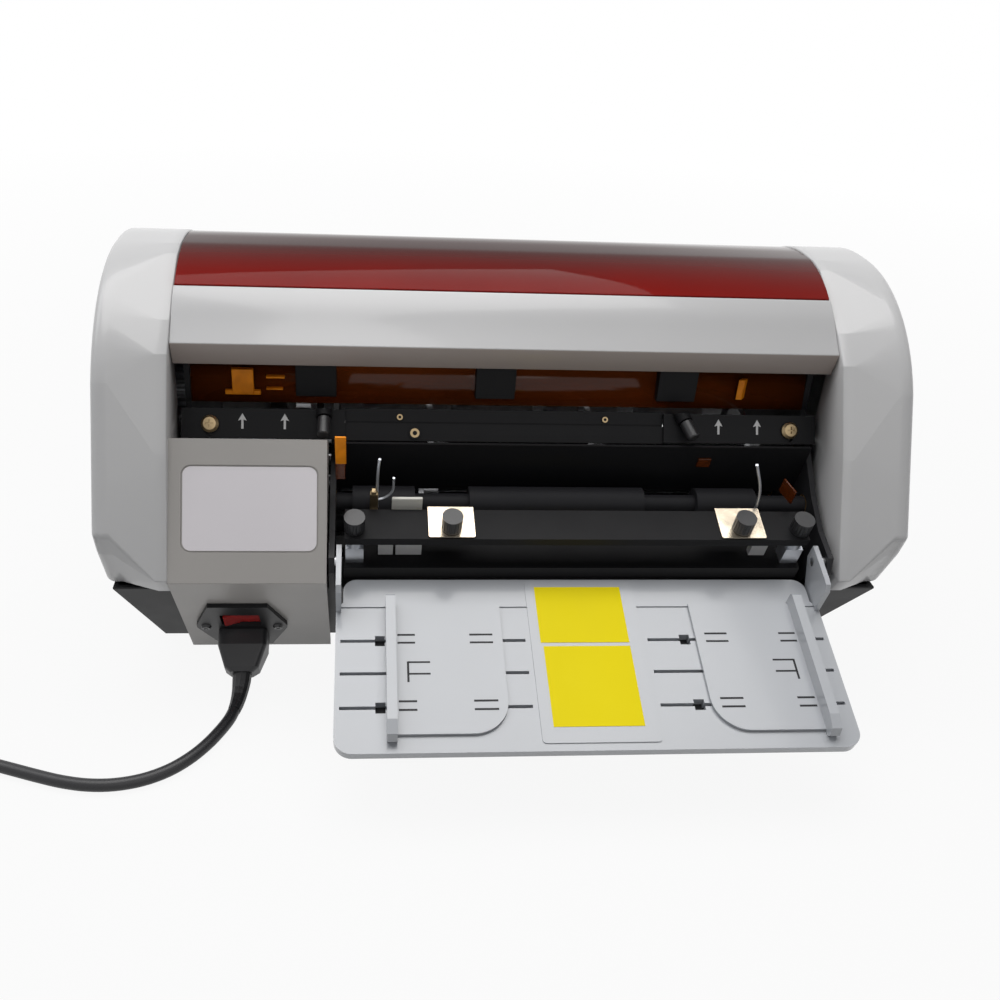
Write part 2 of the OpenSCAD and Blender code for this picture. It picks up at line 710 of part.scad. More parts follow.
module card_shaft_lower() {
    color("#b8bcc2") {
        disc(card_low, card_gear_x - 1, frame_x + frame_t + 2 - card_gear_x, shaft_r);
        blade_set(card_low, card_x, 0);
        disc(card_low, belt_x - 1, 5, belt_r);
        gear_at(card_low, card_gear_x, pair_teeth, 8, 0);
    }
}
module card_shaft_upper() {
    color("#b8bcc2") {
        disc(card_up, card_gear_x - 1, frame_x + frame_t + 2 - card_gear_x, shaft_r);
        blade_set(card_up, card_x, 3.1);
        gear_at(card_up, card_gear_x, pair_teeth, 8, half_step);
    }
}
module bush(x, p) {
    translate([x, p[0], p[1]]) rotate([0, 90, 0]) difference() {
        cylinder(h = frame_t, r = bush_r);
        translate([0, 0, -1]) cylinder(h = frame_t + 2, r = shaft_r + run);
    }
}
module shaft_bearings() {
    color("#b5893a") {
        for (p = shafts) bush(frame_x, p);
        for (p = [card_low, card_up]) bush(-frame_x - frame_t, p);
        for (p = [slit_low, slit_up, roll_low, roll_up]) bush(frame_l, p);
    }
}
// ---- drive ----
module drive_gear() {
    color("#e8e6dc") translate([drive_x, slit_low[0], slit_low[1]]) rotate([0, 90, 0])
        gear(drive_teeth, gear_m, 8, shaft_r, 90 + pinion_at);
}
module drive_belt() {
    loops = [slit_low, roll_low, card_low];
    color("#1a1a1a") along_x(belt_x, belt_x + 3) difference() {
        hull() for (p = loops) translate(p) circle(belt_r + 1.3);
        hull() for (p = loops) translate(p) circle(belt_r + 0.3);
    }
}
module motor_pinion() {
    color("#c9ccd0") {
        translate([drive_x, pinion_c[0], pinion_c[1]]) rotate([0, 90, 0])
            gear(pinion_teeth, gear_m, 8, 2.9, 270 + pinion_at + 180 / pinion_teeth);
        disc(pinion_c, drive_x - 17, 26, 3);
    }
}
module drive_motor() {
    color("#9aa0a6") difference() {
        union() {
            disc(pinion_c, -frame_x, 42, 30);
            disc(pinion_c, -frame_x + 41, 4, 9);
        }
        disc(pinion_c, drive_x - 18, 20, 3.05);
    }
}
module circuit_board() {
    color("#2f7a46") {
        box_at([-165, 96, 16], [-105, 140, 17.6]);
        for (x = [-161, -109], y = [100, 136]) translate([x, y, base_z + 2]) cylinder(h = 11, r = 2.5);
    }
    color("#c7a33c") box_at([-158, 104, 17.5], [-134, 130, 37]);
    color("#22242a") {
        translate([-122, 108, 17.5]) cylinder(h = 16, r = 6);
        translate([-122, 126, 17.5]) cylinder(h = 12, r = 5);
    }
}
// ---- mains inlet ----
module on_inlet() {
    on_under(inlet_x, inlet_u) children();
}
module inlet_module() {
    color("#141414") on_inlet() difference() {
        union() {
            linear_extrude(2.5) polygon([[-16, 29], [16, 29], [25, 2], [25, -2], [15, -29], [-15, -29],
                [-25, -2], [-25, 2]]);
            box_at([-13.8, -25.8, -30], [13.8, 25.8, 0.5]);
        }
        // room for the switch and for the plug of the lead
        box_at([-10.8, rocker_rise - 7.2, -14], [10.8, rocker_rise + 7.2, 3]);
        box_at([-12.6, plug_drop - 8.6, -20], [12.6, plug_drop + 8.6, 3]);
        for (x = [-20, 20]) translate([x, 0, -1]) cylinder(h = 4, r = 1.6);
    }
}
module rocker_switch() {
    color("#a01414") on_inlet() translate([0, rocker_rise, -4]) rotate([0, 8, 0])
        rotate([90, 0, 0]) translate([0, 0, -6.7]) linear_extrude(13.4)
            polygon([[-9.2, -4], [9.2, -4], [9.9, 6.4], [0, 4.9], [-9.9, 6.4]]);
}
module inlet_screws() {
    color("#a9adb2") on_inlet() for (x = [-20, 20]) translate([x, 0, 0]) {
        difference() {
            translate([0, 0, 2.5]) cylinder(h = 1.4, r1 = 3, r2 = 2.2);
            for (a = [45, 135]) rotate(a) box_at([-1.6, -0.3, 3.2], [1.6, 0.3, 5]);
        }
        translate([0, 0, -6]) cylinder(h = 9, r = 1.55);
    }
}
// ---- mains lead ----
module cord_connector() {
    color("#17171a") on_inlet() translate([0, plug_drop, 0]) {
        box_at([-12.2, -8.2, -18], [12.2, 8.2, 3.5]);
        hull() {
            translate([-13.6, -10.2, 2.8]) round_plate(27.2, 20.4, 9, 3);
            translate([-9.5, -7.6, 19]) round_plate(19, 15.2, 5, 3);
            translate([-6.4, -6.2, 26]) round_plate(12.8, 12.4, 0.5, 3);
        }
    }
}
module cord_relief() {
    color("#17171a") tube(relief_path, [5.4, 5.2, 4.7, 4.3, 3.9, 3.5], 12);
}
module cord_run() {
    color("#141416") tube(lead_path, [for (p = lead_path) cord_r], 10);
}
module cord_coil() {
    color("#141416") tube(coil_path, [for (p = coil_path) cord_r], 6);
    echo(lead_mm = total(lengths(lead_path)) + total(lengths(coil_path)));
    echo(least_gap_mm = least_gap(coil_path, 12));
}
module cord_tie() {
    // strap round both layers of the wound lead
    color("#2a2a2e") translate([coil_mid[0], coil_mid[1], 0]) rotate([90, 0, 90])
        translate([0, 0, -5]) linear_extrude(10) difference() {
            translate([25.6, 0.1]) round_rect(24, 16.4, 2.5);
            translate([26.4, 0.9]) round_rect(22.4, 14.8, 2);
        }
}
module mains_plug() {
    color("#17171a") {
        tube([for (i = [0:3]) [coil_end[0] - lead_d - 12 * i, coil_end[1], coil_z + coil_pitch]],
            [3.5, 4, 4.6, 5.4], 12);
        hull() {
            translate([plug_x - 26, coil_end[1] - 13, 1]) cube([10, 26, 21]);
            translate([plug_x - 2, coil_end[1] - 8, 4]) cube([2, 16, 15]);
        }
    }
    color("#c9ccd0") for (y = [-9.5, 9.5])
        rod(plug_x - 45, plug_x - 25, 2.4, coil_end[1] + y, coil_z + coil_pitch);
}

base_chassis();
rubber_feet();
left_side_cover();
right_side_cover();
front_top_cover();
rear_cover();
tinted_lid();
lid_hinge_pins();
front_left_panel();
label_plate();
inner_shield();
left_side_frame();
right_side_frame();
centre_frame();
tie_rods();
push_bar();
left_push_bracket();
right_push_bracket();
push_bracket_screws();
left_upper_knob();
right_upper_knob();
feed_table();
feed_bar();
bar_posts();
left_bar_knob();
right_bar_knob();
left_edge_guide();
right_edge_guide();
left_guide_knob();
right_guide_knob();
edge_stops();
feed_tray();
tray_centre_panel();
tray_plates();
left_tray_guide();
right_tray_guide();
tray_pivot_pins();
feed_roller();
pinch_roller();
slitter_shaft_lower();
slitter_shaft_upper();
card_shaft_lower();
card_shaft_upper();
shaft_bearings();
drive_gear();
drive_belt();
motor_pinion();
drive_motor();
circuit_board();
inlet_module();
rocker_switch();
inlet_screws();
paper_springs();
shield_blocks();
cord_connector();
cord_relief();
cord_run();
cord_coil();
cord_tie();
mains_plug();
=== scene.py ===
"""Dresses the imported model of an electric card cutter: finishes, smooth shells, fittings, mains lead."""

import json
import math

import bmesh
import bpy
from mathutils import Matrix, Vector


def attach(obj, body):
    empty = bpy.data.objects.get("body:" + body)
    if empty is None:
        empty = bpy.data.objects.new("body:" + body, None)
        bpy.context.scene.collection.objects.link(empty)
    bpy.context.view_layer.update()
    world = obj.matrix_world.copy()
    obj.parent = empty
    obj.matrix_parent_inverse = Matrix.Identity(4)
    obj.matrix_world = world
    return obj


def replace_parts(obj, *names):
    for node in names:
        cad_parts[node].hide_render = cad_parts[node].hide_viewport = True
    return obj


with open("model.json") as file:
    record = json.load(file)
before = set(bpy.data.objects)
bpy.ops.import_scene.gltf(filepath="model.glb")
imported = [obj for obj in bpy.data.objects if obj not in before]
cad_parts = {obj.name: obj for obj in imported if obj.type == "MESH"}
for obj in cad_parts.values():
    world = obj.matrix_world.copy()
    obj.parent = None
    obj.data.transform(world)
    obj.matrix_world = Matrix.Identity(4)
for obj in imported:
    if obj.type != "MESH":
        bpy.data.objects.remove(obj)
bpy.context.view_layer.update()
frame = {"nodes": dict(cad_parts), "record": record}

MM = 0.001

# ---- places of the machine, in millimetres and degrees ----
FEED_SLOPE = 20
FRONT_LEAN = 30
HALF_WIDTH = 215
LEAD_R = 3.3
LEAD_D = 2 * LEAD_R


def plane(y, z, angle):
    """Matrix of a sloping plane of the machine: its own millimetres to metres in the frame."""
    turn = Matrix.Rotation(math.radians(angle), 4, "X")
    return Matrix.Translation((0, y * MM, z * MM)) @ turn @ Matrix.Scale(MM, 4)


LEVEL = plane(0, 0, 0)
FEED = plane(-79.7, 71.2, FEED_SLOPE)                # the feed table and the tray
PUSH = plane(-12.7, 144.4, 90 - FRONT_LEAN)          # the push bar and its brackets


# ---- camera ----
CAMERA_PLACE = (-0.0797, -0.5212, 0.3886)
CAMERA_ANGLES = (5.581, 29.998, 3.126)               # turn, downward pitch and roll
CAMERA_LENS = 37.145
CAMERA_SENSOR = 36
CAMERA_SHIFT = (0.0524, 0.00686)


def look():
    """The photograph's camera, fitted to the machine's known corners."""
    turn, pitch, roll = (math.radians(a) for a in CAMERA_ANGLES)
    ahead = Vector((math.sin(turn) * math.cos(pitch), math.cos(turn) * math.cos(pitch), -math.sin(pitch)))
    level = Vector((math.cos(turn), -math.sin(turn), 0))
    above = level.cross(ahead)
    right = level * math.cos(roll) + above * math.sin(roll)
    up = above * math.cos(roll) - level * math.sin(roll)
    data = bpy.data.cameras.new("camera")
    data.lens = CAMERA_LENS
    data.sensor_width = CAMERA_SENSOR
    data.shift_x, data.shift_y = CAMERA_SHIFT
    data.clip_start = 0.01
    camera = bpy.data.objects.new("camera", data)
    axes = Matrix((right, up, -ahead)).transposed().to_4x4()
    camera.matrix_world = Matrix.Translation(CAMERA_PLACE) @ axes
    bpy.context.scene.collection.objects.link(camera)
    bpy.context.scene.camera = camera


# ---- finishes ----
COAT_ROUGH = 0.08
CLOUD_SCALE = 9                                      # noise scales: change of colour, and uneven gloss
GLOSS_SCALE = 60
RELIEF = 0.0004                                      # height of the grain, in metres
# painted shade and dark reflection on the lid: its colour darkens from the front to the back
LID_PAINTED_SHADE = ((0.045, 0.006, 0.004), 0.014, 0.05)   # its rear colour, and where the change starts and ends


def finish(name, colour, rough, metal=0.0, coat=0.0, grain=900, bump=0.04, vary=0.05, see=0.0,
           ior=1.46, stretch=(1, 1, 1), spread=0.06, behind=None):
    """A moulded, painted or metal surface: fine grain, uneven gloss and a little change of colour."""
    material = bpy.data.materials.new(name)
    material.use_nodes = True
    nodes, links = material.node_tree.nodes, material.node_tree.links
    shader = nodes["Principled BSDF"]
    shader.inputs["Metallic"].default_value = metal
    shader.inputs["IOR"].default_value = ior
    shader.inputs["Coat Weight"].default_value = coat
    shader.inputs["Coat Roughness"].default_value = COAT_ROUGH
    shader.inputs["Transmission Weight"].default_value = see
    place = nodes.new("ShaderNodeTexCoord")
    scale = nodes.new("ShaderNodeMapping")
    scale.inputs["Scale"].default_value = stretch
    links.new(place.outputs["Object"], scale.inputs["Vector"])

    def noise(size, detail):
        node = nodes.new("ShaderNodeTexNoise")
        node.inputs["Scale"].default_value = size
        node.inputs["Detail"].default_value = detail
        links.new(scale.outputs["Vector"], node.inputs["Vector"])
        return node.outputs["Fac"]

    cloud = noise(CLOUD_SCALE, 3)
    tone = nodes.new("ShaderNodeValToRGB")
    low, high = tone.color_ramp.elements
    low.position, high.position = 0.3, 0.7
    low.color = (*[c * (1 - vary) for c in colour], 1)
    high.color = (*[min(1, c * (1 + vary)) for c in colour], 1)
    links.new(cloud, tone.inputs["Fac"])
    if behind:
        # painted shade and dark reflection: the colour deepens from the front of the piece to the back
        split = nodes.new("ShaderNodeSeparateXYZ")
        links.new(place.outputs["Object"], split.inputs["Vector"])
        depth = nodes.new("ShaderNodeMapRange")
        depth.inputs["From Min"].default_value, depth.inputs["From Max"].default_value = behind[1:]
        links.new(split.outputs["Y"], depth.inputs["Value"])
        blend = nodes.new("ShaderNodeMix")
        blend.data_type = "RGBA"
        blend.inputs["B"].default_value = (*behind[0], 1)
        links.new(depth.outputs["Result"], blend.inputs["Factor"])
        links.new(tone.outputs["Color"], blend.inputs["A"])
        links.new(blend.outputs["Result"], shader.inputs["Base Color"])
    else:
        links.new(tone.outputs["Color"], shader.inputs["Base Color"])
    gloss = nodes.new("ShaderNodeMapRange")
    gloss.inputs["To Min"].default_value = max(0.02, rough - spread)
    gloss.inputs["To Max"].default_value = min(1, rough + spread)
    links.new(noise(GLOSS_SCALE, 4), gloss.inputs["Value"])
    links.new(gloss.outputs["Result"], shader.inputs["Roughness"])
    relief = nodes.new("ShaderNodeBump")
    relief.inputs["Strength"].default_value = bump
    relief.inputs["Distance"].default_value = RELIEF
    links.new(noise(grain, 2), relief.inputs["Height"])
    links.new(relief.outputs["Normal"], shader.inputs["Normal"])
    return material


LOOKS = {
    "cover_grey": dict(colour=(0.50, 0.50, 0.505), rough=0.33, coat=0.25, bump=0.03, vary=0.02, spread=0.02),
    "panel_grey": dict(colour=(0.36, 0.345, 0.33), rough=0.42, coat=0.1, bump=0.05, vary=0.03),
    "tray_grey": dict(colour=(0.41, 0.425, 0.45), rough=0.24, coat=0.3, bump=0.02, vary=0.03,
                      spread=0.015),
    "base_black": dict(colour=(0.012, 0.012, 0.013), rough=0.55, bump=0.15, grain=1500, ior=1.35),
    "rubber_black": dict(colour=(0.02, 0.02, 0.02), rough=0.8, bump=0.2, grain=1200),
    "lid_red": dict(colour=(0.30, 0.008, 0.004), rough=0.05, see=0.35, bump=0.0, vary=0.1, spread=0.02,
                    ior=1.16, behind=LID_PAINTED_SHADE),
    "amber": dict(colour=(0.20, 0.045, 0.008), rough=0.14, see=0.5, bump=0.0, vary=0.3, spread=0.03, ior=1.3),
    # a lighter, opaque copy of the amber finish: painted light
    "amber_painted_lit": dict(colour=(0.88, 0.25, 0.008), rough=0.3, bump=0.0, vary=0.3, spread=0.03, ior=1.25,
                         stretch=(9, 9, 9)),
    # a darker, browner copy of the cover grey for the band that turns under: part taupe colour, part painted
    # shade
    "band_taupe_and_shade": dict(colour=(0.36, 0.31, 0.285), rough=0.4, coat=0.1, bump=0.05, vary=0.04),
    "label_white": dict(colour=(0.74, 0.71, 0.74), rough=0.35, coat=0.2, bump=0.01, vary=0.02),
    "plate_yellow": dict(colour=(0.80, 0.66, 0.003), rough=0.55, bump=0.02, vary=0.05, ior=1.2),
    "frame_dark": dict(colour=(0.018, 0.018, 0.02), rough=0.5, bump=0.08, grain=1400, ior=1.3),
    "bar_black": dict(colour=(0.008, 0.008, 0.009), rough=0.5, bump=0.08, grain=1600, ior=1.22),
    "screw_brass": dict(colour=(0.30, 0.225, 0.13), rough=0.38, metal=1, bump=0.05, vary=0.15),
    "knob_black": dict(colour=(0.022, 0.022, 0.024), rough=0.36, coat=0.15, bump=0.06, grain=1600, ior=1.4),
    "steel": dict(colour=(0.55, 0.56, 0.58), rough=0.3, metal=1, stretch=(1, 30, 30), grain=300, bump=0.08),
    "spring_plate": dict(colour=(0.60, 0.52, 0.41), rough=0.24, metal=1, bump=0.05, vary=0.4,
                         stretch=(7, 7, 7)),
    "zinc": dict(colour=(0.5, 0.52, 0.56), rough=0.42, metal=0.9, bump=0.1, vary=0.12),
    "white_plastic": dict(colour=(0.62, 0.62, 0.62), rough=0.4, bump=0.04),
    "roller_rubber": dict(colour=(0.012, 0.012, 0.014), rough=0.6, bump=0.15, grain=1800, ior=1.25),
    "bronze": dict(colour=(0.55, 0.36, 0.16), rough=0.4, metal=1, bump=0.1, vary=0.15),
    "nylon": dict(colour=(0.75, 0.74, 0.68), rough=0.5, bump=0.05),
    "belt_rubber": dict(colour=(0.02, 0.02, 0.02), rough=0.7, bump=0.2),
    "motor_steel": dict(colour=(0.3, 0.32, 0.35), rough=0.4, metal=0.8, bump=0.05),
    "board_green": dict(colour=(0.03, 0.18, 0.07), rough=0.45, bump=0.1, vary=0.2),
    "inlet_black": dict(colour=(0.008, 0.008, 0.009), rough=0.4, bump=0.03, ior=1.3),
    "rocker_red": dict(colour=(0.42, 0.012, 0.01), rough=0.18, coat=0.5, bump=0.01),
    "lead_black": dict(colour=(0.012, 0.012, 0.014), rough=0.42, bump=0.08, grain=1500),
}
FINISHES = {name: finish(name, **settings) for name, settings in LOOKS.items()}


def dress():
    """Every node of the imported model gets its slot's finish."""
    for part in frame["record"]["subparts"]:
        mesh = frame["nodes"][part["node"]].data
        mesh.materials.clear()
        mesh.materials.append(FINISHES[part["material_slot"]])
    frame["nodes"]["inlet_screws"].data.materials[0] = FINISHES["knob_black"]


# ---- pieces ----
BEVEL_FROM = 40                                      # edges sharper than this angle are rounded


def piece(name, verts, faces, body, slot, where=LEVEL, bevel=0.0, smooth=30, thick=0.0, look_of=None):
    """A mesh piece given in the millimetres of its own plane."""
    mesh = bpy.data.meshes.new(name)
    mesh.from_pydata([where @ Vector(v) for v in verts], [], faces)
    shape = bmesh.new()
    shape.from_mesh(mesh)
    bmesh.ops.recalc_face_normals(shape, faces=shape.faces)
    shape.to_mesh(mesh)
    shape.free()
    made = bpy.data.objects.new(name, mesh)
    bpy.context.scene.collection.objects.link(made)
    mesh.materials.append(FINISHES[look_of or slot])
    if thick:
        wall = made.modifiers.new("thick", "SOLIDIFY")
        wall.thickness = thick * MM
        wall.offset = -1
    if bevel:
        round_edges = made.modifiers.new("bevel", "BEVEL")
        round_edges.width = bevel * MM
        round_edges.segments = 2
        round_edges.limit_method = "ANGLE"
        round_edges.angle_limit = math.radians(BEVEL_FROM)
    mesh.shade_smooth()
    mesh.set_sharp_from_angle(angle=math.radians(smooth))
    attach(made, body)
    return made


def prism(outline, low, high):
    """Vertices and faces of an outline in X and Y, drawn out from low to high."""
    n = len(outline)
    verts = [(x, y, low) for x, y in outline] + [(x, y, high) for x, y in outline]
    faces = [list(range(n))[::-1], list(range(n, 2 * n))]
    faces += [[i, (i + 1) % n, n + (i + 1) % n, n + i] for i in range(n)]
    return verts, faces


def box(x0, y0, z0, x1, y1, z1):
    return prism([(x0, y0), (x1, y0), (x1, y1), (x0, y1)], z0, z1)


def joined(*shapes):
    """Vertices and faces of several shapes as one."""
    verts, faces = [], []
    for v, f in shapes:
        faces += [[i + len(verts) for i in face] for face in f]
        verts += v
    return verts, faces


def circle(x, y, r, n=24):
    turns = [2 * math.pi * i / n for i in range(n)]
    return [(x + r * math.cos(a), y + r * math.sin(a)) for a in turns]


def curve_along(name, line, radius, resolution, slot):
    """A round curve of the given radius along a line in metres."""
    data = bpy.data.curves.new(name, "CURVE")
    data.dimensions = "3D"
    data.bevel_depth = radius * MM
    data.bevel_resolution = resolution
    data.use_fill_caps = True
    spline = data.splines.new("POLY")
    spline.points.add(len(line) - 1)
    for point, place in zip(spline.points, line):
        point.co = (*place, 1)
    data.materials.append(FINISHES[slot])
    made = bpy.data.objects.new(name, data)
    bpy.context.scene.collection.objects.link(made)
    return made


# ---- smooth covers, from outlines in Y and Z ----
CROWN_R = 98.2                                       # rounded top and back of the side covers
MID_R = 97.7                                         # the same of the middle shells
REAR_Y = 59.5                                        # middle of these radii, from front to back
ROUND_Z = 127                                        # and its height
COVER_LOW = 68                                       # lower edge of the covers
BROW_Y = 50                                          # middle of the long curve above the front,
BROW_REACH = 100                                     # how far it reaches forward of that
BROW_START = 149.3                                   # and the direction in which it starts
CROWN_ROUNDING = 6                                   # corners of the outline, at the side and at the seam
SEAM_ROUNDING = 1.2
COVER_FILLET = 5                                     # round edge of the outer face
CROWN_X = 206                                        # the front slopes from here
SLOPE_X = 184                                        # to here
SEAM_X = 178
SEAM_CHAMFER = 0.6
COVER_WALL = 2.4
RIM = 13                                             # rim around the window in a cover's inner face
WINDOW_MID = (58, ROUND_Z)
WINDOW_LOW = (-4, 72)                                # the window reaches no further forward or down
FAR = 400                                            # past every outline
RING = 300                                           # points of a ring


def smooth_line(points, steps):
    """A Catmull-Rom line through the points."""
    line = []
    for i in range(len(points) - 1):
        a, b = Vector(points[i]), Vector(points[i + 1])
        before = Vector(points[i - 1]) if i else a * 2 - b
        after = Vector(points[i + 2]) if i + 2 < len(points) else b * 2 - a
        for k in range(steps):
            t = k / steps
            line.append(0.5 * (2 * a + (b - before) * t + (2 * before - 5 * a + 4 * b - after) * t ** 2
                               + (3 * a - before - 3 * b + after) * t ** 3))
    line.append(Vector(points[-1]))
    return line


def bend(middle, ry, rz, start, stop, steps):
    """Points of an arc in Y and Z, between two directions."""
    turns = [math.radians(start + (stop - start) * i / steps) for i in range(steps + 1)]
    return [(middle[0] + ry * math.cos(a), middle[1] + rz * math.sin(a)) for a in turns]


def rear_round(radius, start=90):
    """The round from the top to the back, and the straight stretch below it."""
    return bend((REAR_Y, ROUND_Z), radius, radius, start, 0, 90) + [(REAR_Y + radius, COVER_LOW)]


CROWNED = ([(-57, COVER_LOW), (-65, 92), (-68, 99), (-71.5, 106)]
           + bend((BROW_Y, ROUND_Z), BROW_REACH, CROWN_R, BROW_START, 90, 60) + rear_round(CROWN_R))
SEAM = ([(-57, COVER_LOW), (-69.6, 75), (-76, 85), (-47, 143.5), (-18, 193), (-6, 200), (3, 207.5),
         (12, 213.8), (22, 219.1), (33, 222.8), (45, 225.1)] + rear_round(CROWN_R))


def inset(outline, depth):
    """The convex outline moved inwards by depth."""
    inner = [(-FAR, -FAR), (FAR, -FAR), (FAR, FAR), (-FAR, FAR)]
    for (ay, az), (by, bz) in zip(outline, outline[1:] + outline[:1]):
        length = math.hypot(by - ay, bz - az)
        if length < 1e-6:
            continue
        ny, nz = (az - bz) / length, (by - ay) / length
        limit = ny * ay + nz * az - depth
        kept = []
        for p, q in zip(inner, inner[1:] + inner[:1]):
            dp, dq = ny * p[0] + nz * p[1] - limit, ny * q[0] + nz * q[1] - limit
            if dp <= 0:
                kept.append(p)
            if dp * dq < 0:
                t = dp / (dp - dq)
                kept.append((p[0] + (q[0] - p[0]) * t, p[1] + (q[1] - p[1]) * t))
        inner = kept
    return inner


def ring(outline, rounding, depth):
    """Points of the rounded outline, one for each direction, so that rings join as a hull does."""
    core = inset(outline, rounding)
    points = []
    for i in range(RING):
        a = 2 * math.pi * i / RING
        n = (math.cos(a), math.sin(a))
        best = max(core, key=lambda p: p[0] * n[0] + p[1] * n[1])
        points.append((best[0] + n[0] * (rounding - depth), best[1] + n[1] * (rounding - depth)))
    return points


def toward_window(y, z):
    """A point of the seam outline, moved by the rim's width towards the middle of the window."""
    dy, dz = WINDOW_MID[0] - y, WINDOW_MID[1] - z
    length = math.hypot(dy, dz)
    return y + dy / length * RIM, z + dz / length * RIM


def side_cover(name, node, side):
    """The shell of one side: outer face, round edge, slope to the seam and rim of the window."""
    turns = [math.radians(15 * k) for k in range(7)]
    slices = [(HALF_WIDTH - COVER_FILLET * (1 - math.cos(t)),
               ring(CROWNED, CROWN_ROUNDING, COVER_FILLET * (1 - math.sin(t)))) for t in turns]
    seam = ring(SEAM, SEAM_ROUNDING, 0)
    slices += [(CROWN_X, ring(CROWNED, CROWN_ROUNDING, 0)), (SLOPE_X, seam), (SEAM_X + SEAM_CHAMFER, seam),
               (SEAM_X, ring(SEAM, SEAM_ROUNDING, SEAM_CHAMFER))]
    rim = [toward_window(y, z) for y, z in seam]
    slices.append((SEAM_X, [(max(y, WINDOW_LOW[0]), max(z, WINDOW_LOW[1])) for y, z in rim]))
    verts = [(side * x, y, z) for x, points in slices for y, z in points]
    faces = [list(range(RING))]
    for k in range(len(slices) - 1):
        for i in range(RING):
            j = (i + 1) % RING
            faces.append([k * RING + i, k * RING + j, (k + 1) * RING + j, (k + 1) * RING + i])
    made = piece(name, verts, faces, "housing", "cover_grey", smooth=48, thick=COVER_WALL)
    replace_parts(made, node)


MID_BAND = (-10.4, 177.6)                            # lower edge of the front, which turns under
MID_FRONT = [(-14.9, 190.6), (-12.6, 192.6), (-9, 195.8), (-5, 199.5),
             (3, 207), (12, 213.3), (22, 218.6), (33, 222.3), (45, 224.6), (52, 224.9)]
MID = [MID_BAND] + [tuple(p) for p in smooth_line(MID_FRONT, 4)] + rear_round(MID_R, 89)
FRONT_SPAN = (-20, 11.2)                             # stretches of the middle shells along Y
LID_SPAN = (11.6, 95.5)
REAR_SPAN = (98.6, 200)
SHELL_X = 177.8                                      # half widths
LID_X = 177.4
EXIT_X = 165
EXIT_Z = (146, 170)
SHELL_WALL = 3
BAND_WALL = 2.4
LID_WALL = 2.2
SHELL_EDGE = 0.5
KNUCKLE_X = 170.6
KNUCKLE_Y = 93
KNUCKLE_Z = 214.5
KNUCKLE_R = 3.2
KNUCKLE_HALF = 6


def stretch_of(start, stop):
    """The stretch of the middle outline between two places from front to back."""
    line = []
    for (ay, az), (by, bz) in zip(MID, MID[1:]):
        for limit in (start, stop):
            if (ay - limit) * (by - limit) < 0:
                t = (limit - ay) / (by - ay)
                line.append((limit, az + (bz - az) * t))
        if start <= by <= stop:
            line.append((by, bz))
    if start <= MID[0][0]:
        line.insert(0, MID[0])
    return line


def sheet(name, line, columns, holes, thick, slot, body, nodes, look_of=None):
    """A curved shell along X over a line in Y and Z, with its rectangular holes left out."""
    verts = [(x, y, z) for y, z in line for x in columns]
    wide = len(columns)
    faces = []
    for i in range(len(line) - 1):
        for k in range(wide - 1):
            x = (columns[k] + columns[k + 1]) / 2
            z = (line[i][1] + line[i + 1][1]) / 2
            if not any(x0 < x < x1 and z0 < z < z1 for x0, x1, z0, z1 in holes):
                a = i * wide + k
                faces.append([a, a + 1, a + wide + 1, a + wide])
    made = piece(name, verts, faces, body, slot, smooth=35, thick=thick, bevel=SHELL_EDGE, look_of=look_of)
    if nodes:
        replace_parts(made, *nodes)


def covers():
    side_cover("left_cover_shell", "left_side_cover", -1)
    side_cover("right_cover_shell", "right_side_cover", 1)
    wide = [-SHELL_X, SHELL_X]
    front = stretch_of(*FRONT_SPAN)
    sheet("front_top_shell", front[1:], wide, [], SHELL_WALL, "cover_grey", "housing", ["front_top_cover"])
    # the band that turns under: part taupe colour, part painted shade of its downward-facing face
    sheet("front_top_band", front[:2], wide, [], BAND_WALL, "panel_grey", "housing", [],
          look_of="band_taupe_and_shade")
    sheet("lid_shell", stretch_of(*LID_SPAN), [-LID_X, LID_X], [], LID_WALL, "lid_red", "lid",
          ["tinted_lid"])
    sheet("rear_shell", stretch_of(*REAR_SPAN), [-SHELL_X, -EXIT_X, EXIT_X, SHELL_X],
          [(-EXIT_X, EXIT_X, *EXIT_Z)], SHELL_WALL, "cover_grey", "housing", ["rear_cover"])
    for letter, side in (("l", -1), ("r", 1)):
        verts, faces = prism(circle(0, 0, KNUCKLE_R, 28), -KNUCKLE_HALF, KNUCKLE_HALF)
        piece("lid_knuckle_" + letter, verts, faces, "lid", "lid_red", bevel=0.4,
              where=Matrix.Translation((side * KNUCKLE_X * MM, KNUCKLE_Y * MM, KNUCKLE_Z * MM))
              @ Matrix.Rotation(math.pi / 2, 4, "Y") @ Matrix.Scale(MM, 4))


# ---- small fittings, each in the millimetres of its plane ----
GUIDE_FACES = ((-61.5, 1, "left_tray_guide"), (150.5, -1, "right_tray_guide"))
SLOT_SPANS = ((-91, 7), (68.6, 166.6))               # the tray's slots along X
SLOT_LINES = (-20.5, -39.6, -58.8)
SLOT_BACK_HALF = 3.6
SLOT_BACK_Z = (-6, -5)
GROOVE_SPANS = ((1, 10), (38, 50))                   # grooves of the sliding guides, from the guide's face
GROOVE_LINES = (-18, -22.7, -56.3, -61)
GROOVE_HALF = 0.55
MIDDLE_SPAN = (6, 17.2)                              # the pair in the middle, and the strip that ends it
MIDDLE_LINES = (-34.2, -40.9)
MIDDLE_HALF = 0.5
MIDDLE_END = (5.5, -45.6, 6.6, -33.8)
GROOVE_Z = (1.7, 1.86)
ARROW_X = (-143.2, -120.6, 119.6, 141.8)
ARROW_Y = -2.5
PAINT_Z = (0.02, 0.08)
BAR_SCREWS = ((-58.5, 5, -1.6, 1.7), (55.5, 5, -1.6, 1.7), (-50.3, -3.7, -0.4, 2.6))   # x, y, top, radius
SCREW_HOLE = 0.45                                    # of the radius
SCREW_SINK = 0.2
SCREW_RISE = 0.25
